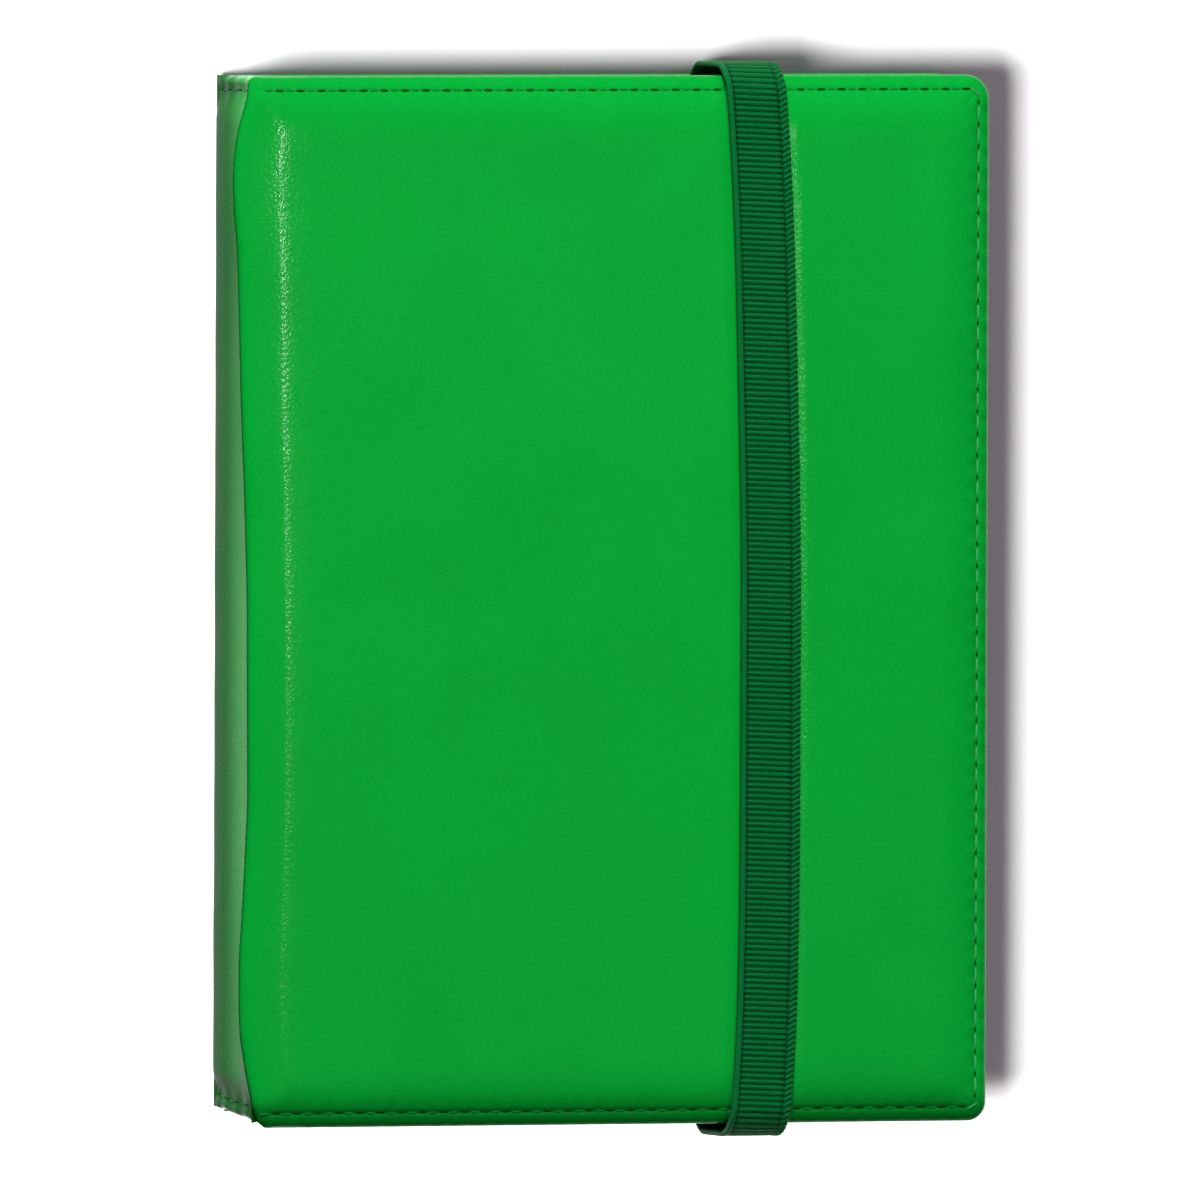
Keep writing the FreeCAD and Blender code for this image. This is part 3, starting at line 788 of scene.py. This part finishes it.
def thread_piece(name, middles, headings, outward, length, sunk, light):
    """Row of short thread bars: each is a tube that arches over its heading and dips into the skin at both ends."""
    radius = sizes().thread_radius / MM
    t = np.linspace(-1.0, 1.0, 8)
    arch = np.sqrt(np.clip(1.0 - np.abs(t) ** 2.5, 0.0, 1.0))
    girth = radius * (0.55 + 0.45 * arch)
    turn = np.arange(6) * math.tau / 6
    side = np.cross(outward, headings)
    length = np.broadcast_to(length, (len(middles), 1))
    # light is each stitch's share of a side seam: stitches with less lie deeper, and those with more get a painted
    # highlight
    centre = (middles[:, None, :] + headings[:, None, :] * (t * length / 2)[..., None]
              + outward[:, None, :] * ((arch - 1.0) * sunk - PULLED_IN * (1.0 - light)[:, None])[..., None])
    ring = (side[:, None, None, :] * np.cos(turn)[None, None, :, None]
            + outward[:, None, None, :] * np.sin(turn)[None, None, :, None])
    points = centre[:, :, None, :] + ring * girth[None, :, None, None]
    tube = grid_quads(len(t), len(turn), loop=True).tolist()
    tube += [list(range(len(turn)))[::-1], list(range((len(t) - 1) * len(turn), len(t) * len(turn)))]
    size = len(t) * len(turn)
    faces = [[corner + size * k for corner in face] for k in range(len(middles)) for face in tube]
    piece = new_piece(name, points.reshape(-1, 3), faces, finish_of("seam_thread", twisted_thread))
    twist = (turn / math.tau)[None, None, :] + (t * length * 0.55)[..., None]
    point_values(piece, "thread_turn", twist)
    # painted highlight: how strongly each stitch's colour is lightened
    point_values(piece, "painted_thread_highlight", light[:, None, None] + np.zeros_like(twist))
    return piece


def cover_stitches(name, front):
    """Stitches along the seam of one cover."""
    middles, headings, pitch = seam_stops()
    up = 1.0 if front else -1.0
    base = FRONT_LOW[2] + (SEAM_HEIGHT - SEAM_DIP) if front else COVER_THICKNESS - (SEAM_HEIGHT - SEAM_DIP)
    height = np.full((len(middles), 1), base + up * 0.12)
    outward = np.tile([0.0, 0.0, up], (len(middles), 1))
    headings = np.concatenate([headings, np.zeros_like(height)], 1)
    # how far each stitch runs along a side seam: it sets the stitch's length, its depth and its painted highlight
    on_side = np.abs(headings[:, 1])
    return thread_piece(name, np.concatenate([middles, height], 1), headings, outward,
                        pitch * (0.60 + 0.16 * on_side)[:, None], 0.62, on_side)


def spine_stitches(name):
    """Four stitches across the spine at the head and at the tail."""
    inset = sizes().seam_inset / MM
    spots = [(end * (HALF_HEIGHT - inset), ALBUM_THICKNESS / 2 + z) for end in (1, -1) for z in SPINE_STITCHES_Z]
    y, z = np.array(spots).T
    profile = along_path(SPINE_OUTER, SPINE_SAMPLES)
    x = np.interp(z, profile[:, 1], profile[:, 0]) + spine_recess(inset)
    middles = np.stack([x - 0.1, y + tail_rise(y, z), z], -1)
    headings = np.tile([0.0, 0.0, 1.0], (len(spots), 1))
    headings[y < 0, 1] = -TAIL_SLANT / 19.0
    headings /= np.linalg.norm(headings, axis=1)[:, None]
    outward = np.tile([-1.0, 0.0, 0.0], (len(spots), 1))
    return thread_piece(name, middles, headings, outward, SPINE_STITCH_PITCH * 0.62, 0.55, np.zeros(len(spots)))


# ---------------------------------------------------------------- strap
STRAP_THICK = 1.3
STRAP_LIFT = 0.25             # underside of the strap below the crown of the pad
SAMPLES_PER_RIB = 8
TAB_REACH = 4.0               # end of the strap inside the back cover


def strap_centre_line():
    """Y and Z of the strap's middle layer, with its outward direction, from the tail tab over the front to the head tab.

    Straight runs joined by quarter circles: out of the back cover, up past the edge, and over the front.
    """
    top = ALBUM_THICKNESS - STRAP_LIFT + STRAP_THICK / 2
    bottom = TURN_LOW[2] + 0.4
    inner = TURN_LOW[1]
    radius = TURN_HIGH[1] - inner - STRAP_THICK / 2 - 0.1
    quarter = np.linspace(0.0, math.pi / 2, 40)
    half = [(inner - TAB_REACH, bottom), (inner, bottom)]
    half += [(inner + radius * math.sin(t), bottom + radius - radius * math.cos(t)) for t in quarter[1:]]
    half += [(inner + radius * math.cos(t), top - radius + radius * math.sin(t)) for t in quarter]
    half = np.array(half)
    tail = half * [-1.0, 1.0]
    corners = np.concatenate([tail, half[::-1]])
    lengths = np.concatenate([[0.0], np.cumsum(np.hypot(*np.diff(corners, axis=0).T))])
    rib = sizes().rib_pitch / MM
    rows = int(lengths[-1] / rib * SAMPLES_PER_RIB)
    at = np.linspace(0.0, lengths[-1], rows)
    line = np.stack([np.interp(at, lengths, corners[:, k]) for k in (0, 1)], -1)
    heading = np.gradient(line, axis=0)
    heading = heading / np.linalg.norm(heading, axis=1)[:, None]
    outward = np.stack([-heading[:, 1], heading[:, 0]], -1)
    return line, outward, at / rib


def strap_relief(rib, across):
    """Height of the weave over the strap's plain face.

    Cross ribs are a raised cosine of the length, a little slanted; the left selvage is a cord beside a groove
    and the right one a row of slanted loops.
    """
    half = STRAP_WIDTH / 2
    ribs = 0.26 * ((0.5 + 0.5 * np.cos(math.tau * (rib + 0.035 * across))) ** 0.7 - 0.5)
    cord_at, loops_at = -half + 0.55, half - 1.05
    cord = 0.22 * np.sqrt(np.clip(1.0 - ((across - cord_at) / 0.6) ** 2, 0.0, 1.0)) - 0.05
    cord = cord + 0.04 * np.cos(math.tau * (2.0 * rib + 0.8 * across))
    loops = (0.5 + 0.5 * np.cos(math.tau * (rib - 0.42 * (across - loops_at)))) ** 0.8
    loops = 0.30 * loops * np.clip(1.0 - ((across - loops_at) / 1.1) ** 4, 0.0, 1.0) - 0.10
    on_cord = smooth((-half + 1.3 - across) / 0.25)
    on_loops = smooth((across - (half - 2.15)) / 0.25)
    grooves = 0.20 * (bump_at(across, -half + 1.35, 0.22) + bump_at(across, half - 2.2, 0.22))
    return ribs * (1.0 - on_cord) * (1.0 - on_loops) + cord * on_cord + loops * on_loops - grooves


def strap_piece():
    """Closed strap: a flat loop of section points is carried along the centre line, and the weave lifts its face."""
    line, outward, rib = strap_centre_line()
    half = STRAP_WIDTH / 2
    top = np.concatenate([np.linspace(-half, -half + 1.7, 8)[:-1], np.linspace(-half + 1.7, half - 2.5, 13)[:-1],
                          np.linspace(half - 2.5, half, 10)])
    bottom = np.linspace(half, -half, 9)
    across = np.concatenate([top, bottom])[None, :]
    face = np.concatenate([np.ones(len(top)), -np.ones(len(bottom))])[None, :]
    edge = np.sqrt(np.clip(1.0 - ((np.abs(across) - (half - 0.35)) / 0.35).clip(0.0, 1.0) ** 2, 0.0, 1.0))
    relief = strap_relief(rib[:, None], across)
    lift = face * (STRAP_THICK / 2 * (0.45 + 0.55 * edge)) + relief * np.where(face > 0, 1.0, -0.4) * edge
    ripple = 0.10 * np.cos(math.tau * rib[:, None]) * smooth((across - (half - 1.2)) / 1.2)
    x = STRAP_X + strap_bow(line[:, 0])[:, None] + across + ripple
    y = line[:, 0][:, None] + outward[:, 0][:, None] * lift
    z = line[:, 1][:, None] + outward[:, 1][:, None] * lift
    rows, columns = x.shape
    faces = grid_quads(rows, columns, loop=True).tolist()
    faces += [list(range(columns))[::-1], list(range((rows - 1) * columns, rows * columns))]
    piece = new_piece("elastic_strap", np.stack([x, y, z], -1).reshape(-1, 3), faces,
                      finish_of("strap_elastic", ribbed_elastic))
    point_values(piece, "rib_height", relief)
    point_values(piece, "strap_across", np.broadcast_to(across, x.shape))
    point_values(piece, "strap_along", np.broadcast_to(rib[:, None], x.shape))
    return piece


def place_cover(name, cover, front):
    """Make one padded cover and let it stand for the frame's skin and foam."""
    piece = cover_piece(name, front)
    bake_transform(piece)
    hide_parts(cover + "_skin", cover + "_foam", cover + "_board")


class ALBUM_OT_front_cover(bpy.types.Operator):
    """Make the padded front cover"""
    bl_idname = "album.front_cover"
    bl_label = "Front cover"

    def execute(self, context):
        place_cover("front_padded_cover", "front_cover", True)
        return {"FINISHED"}


class ALBUM_OT_back_cover(bpy.types.Operator):
    """Make the padded back cover"""
    bl_idname = "album.back_cover"
    bl_label = "Back cover"

    def execute(self, context):
        place_cover("back_padded_cover", "back_cover", False)
        return {"FINISHED"}


class ALBUM_OT_spine(bpy.types.Operator):
    """Make the soft spine"""
    bl_idname = "album.spine"
    bl_label = "Spine"

    def execute(self, context):
        piece = spine_piece()
        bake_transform(piece)
        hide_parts("spine_skin", "spine_foam", "spine_board")
        return {"FINISHED"}


class ALBUM_OT_stitching(bpy.types.Operator):
    """Make the seam stitches of both covers and the spine"""
    bl_idname = "album.stitching"
    bl_label = "Stitching"

    def execute(self, context):
        made = {"front_cover": cover_stitches("front_seam_stitches", True),
                "back_cover": cover_stitches("back_seam_stitches", False),
                "spine": spine_stitches("spine_seam_stitches")}
        for body, piece in made.items():
            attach(piece, body)
            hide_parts(body + "_stitching")
        return {"FINISHED"}


class ALBUM_OT_strap(bpy.types.Operator):
    """Make the ribbed elastic strap"""
    bl_idname = "album.strap"
    bl_label = "Elastic strap"

    def execute(self, context):
        piece = strap_piece()
        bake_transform(piece)
        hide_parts("strap_front_run", "strap_head_turn", "strap_tail_turn")
        dress("_tab", finish_of("strap_elastic", ribbed_elastic))
        return {"FINISHED"}


class ALBUM_OT_boards(bpy.types.Operator):
    """Finish the linings of the covers"""
    bl_idname = "album.boards"
    bl_label = "Boards and linings"

    def execute(self, context):
        dress("_lining", finish_of("lining_paper", embossed_paper))
        return {"FINISHED"}


class ALBUM_OT_leaves(bpy.types.Operator):
    """Finish the cards, pocket strips and interleaves of the leaves"""
    bl_idname = "album.leaves"
    bl_label = "Leaves"

    def execute(self, context):
        dress("_card", finish_of("leaf_card", black_card))
        dress("_pocket_strips", finish_of("clear_strip", clear_film))
        dress("_interleaf", finish_of("glassine", glassine_paper))
        return {"FINISHED"}


class ALBUM_OT_hinges(bpy.types.Operator):
    """Finish the linen hinges and the strip that carries them"""
    bl_idname = "album.hinges"
    bl_label = "Linen hinges"

    def execute(self, context):
        dress("_linen_hinge", finish_of("linen", lambda: woven("linen", (0.030, 0.030, 0.032), 0.5, 0.8)))
        strip = backing_strip()
        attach(strip, "spine")
        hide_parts("spine_backing_strip")
        return {"FINISHED"}


# ---------------------------------------------------------------- stage
CAMERA_DISTANCE = 10.5
PIXELS_PER_METRE_SHARE = 4.66 / 1200 / MM      # share of the picture's width for each metre of the album
VIEW_YAW, VIEW_RISE, VIEW_ROLL = 20.1, 1.6, 0.2
AIM_ASIDE, AIM_BELOW = 1.0, 0.25
SENSOR = 36.0


def view_axes():
    """Camera's right, up and backward directions from the yaw, rise and roll of the view."""
    yaw, rise, roll = (math.radians(a) for a in (VIEW_YAW, VIEW_RISE, VIEW_ROLL))
    back = Vector((-math.sin(yaw) * math.cos(rise), math.sin(rise), math.cos(yaw) * math.cos(rise)))
    right = Vector((math.cos(yaw), 0.0, math.sin(yaw)))
    up = back.cross(right)
    right, up = right * math.cos(roll) + up * math.sin(roll), up * math.cos(roll) - right * math.sin(roll)
    return right, up, back


def place_camera():
    """Long-lens camera that looks down on the closed album from its spine side."""
    data = bpy.data.cameras.new("camera")
    camera = bpy.data.objects.new("camera", data)
    bpy.context.scene.collection.objects.link(camera)
    bpy.context.scene.camera = camera
    right, up, back = view_axes()
    aim = Vector((0.0, 0.0, ALBUM_THICKNESS / 2 * MM)) - right * AIM_ASIDE * MM - up * AIM_BELOW * MM
    matrix = Matrix((right, up, back)).transposed().to_4x4()
    matrix.translation = aim + back * CAMERA_DISTANCE
    camera.matrix_world = matrix
    data.sensor_width = SENSOR
    data.lens = SENSOR * CAMERA_DISTANCE * PIXELS_PER_METRE_SHARE
    data.clip_start, data.clip_end = 0.1, 100.0


def area_light(name, direction, distance, size, power, colour=(1.0, 1.0, 1.0), spread=180.0):
    """Rectangular light that faces the album from a direction."""
    data = bpy.data.lights.new(name, "AREA")
    data.shape = "RECTANGLE"
    data.size, data.size_y = size
    data.energy, data.color, data.spread = power, colour, math.radians(spread)
    light = bpy.data.objects.new(name, data)
    bpy.context.scene.collection.objects.link(light)
    direction = Vector(direction).normalized()
    light.location = direction * distance
    light.rotation_euler = direction.to_track_quat("Z", "Y").to_euler()
    light.visible_camera = False
    return light


def light_only(light, name, floor, on_floor):
    """Let a light reach only the floor, or everything but the floor."""
    group = bpy.data.collections.new(name)
    group.objects.link(floor)
    light.light_linking.receiver_collection = group
    group.collection_objects[0].light_linking.link_state = "INCLUDE" if on_floor else "EXCLUDE"


def floor_finish():
    """Plain pale floor with a barely visible unevenness."""
    look = Finish("floor", 0.85, Specular_IOR_Level=0.1)
    return look.finish(look.mix(look.noise(400.0, 2.0), (0.90, 0.90, 0.90), (0.92, 0.92, 0.92)))


class ALBUM_OT_stage(bpy.types.Operator):
    """Set up the floor, the lights and the camera"""
    bl_idname = "album.stage"
    bl_label = "Stage"

    def execute(self, context):
        scene = context.scene
        half = 3000.0
        floor = new_piece("floor", np.array([(-half, -half, 0), (half, -half, 0), (half, half, 0), (-half, half, 0)]),
                          np.array([[0, 1, 2, 3]]), floor_finish())
        floor.visible_diffuse = False
        world = bpy.data.worlds.new("studio")
        scene.world = world
        world.use_nodes = True
        world.node_tree.nodes["Background"].inputs["Color"].default_value = (1.0, 1.0, 1.0, 1.0)
        world.node_tree.nodes["Background"].inputs["Strength"].default_value = 0.10
        world.cycles_visibility.glossy = False
        floor_light = area_light("floor_light", (-0.74, -0.19, 1.0), 3.0, (1.0, 1.0), 225.0)
        floor_fill = area_light("floor_fill", (0.0, 0.0, 1.0), 3.0, (2.0, 2.0), 10.0, (1.0, 0.75, 1.0))
        light_only(floor_light, "floor_only", floor, True)
        light_only(floor_fill, "floor_fill_only", floor, True)
        key = area_light("key_light", (-0.4, 1.2, 1.0), 2.0, (0.6, 0.6), 40.0)
        fill = area_light("fill_light", (0.2, -0.1, 1.0), 2.5, (1.5, 1.5), 7.0)
        streak = area_light("streak_light", (0.10, 0.075, 1.0), 1.6, (0.015, 0.10), 2.4)
        key.visible_glossy = fill.visible_glossy = False
        for light in (key, fill, streak):
            light_only(light, light.name + "_album", floor, False)
        place_camera()
        scene.view_settings.view_transform = "Standard"
        return {"FINISHED"}


STEPS = (ALBUM_OT_front_cover, ALBUM_OT_back_cover, ALBUM_OT_spine, ALBUM_OT_stitching, ALBUM_OT_strap,
         ALBUM_OT_boards, ALBUM_OT_leaves, ALBUM_OT_hinges, ALBUM_OT_stage)


class ALBUM_PT_panel(bpy.types.Panel):
    """Sidebar panel with the album's sizes, colours and steps"""
    bl_idname = "ALBUM_PT_panel"
    bl_label = "Stamp album"
    bl_space_type = "VIEW_3D"
    bl_region_type = "UI"
    bl_category = "Album"

    def draw(self, context):
        for group in (context.scene.album_sizes, context.scene.album_colours):
            for name in group.__annotations__:
                self.layout.prop(group, name)
        for step in STEPS:
            self.layout.operator(step.bl_idname)


CLASSES = (AlbumSizes, AlbumColours, *STEPS, ALBUM_PT_panel)


def register():
    """Add the settings, the operators and the panel."""
    for item in CLASSES:
        bpy.utils.register_class(item)
    bpy.types.Scene.album_sizes = PointerProperty(type=AlbumSizes)
    bpy.types.Scene.album_colours = PointerProperty(type=AlbumColours)


def unregister():
    """Take them away again."""
    del bpy.types.Scene.album_colours
    del bpy.types.Scene.album_sizes
    for item in reversed(CLASSES):
        bpy.utils.unregister_class(item)


def main():
    """Register the classes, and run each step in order."""
    register()
    for step in STEPS:
        group, name = step.bl_idname.split(".")
        getattr(getattr(bpy.ops, group), name)()


if __name__ == "__main__":
    main()
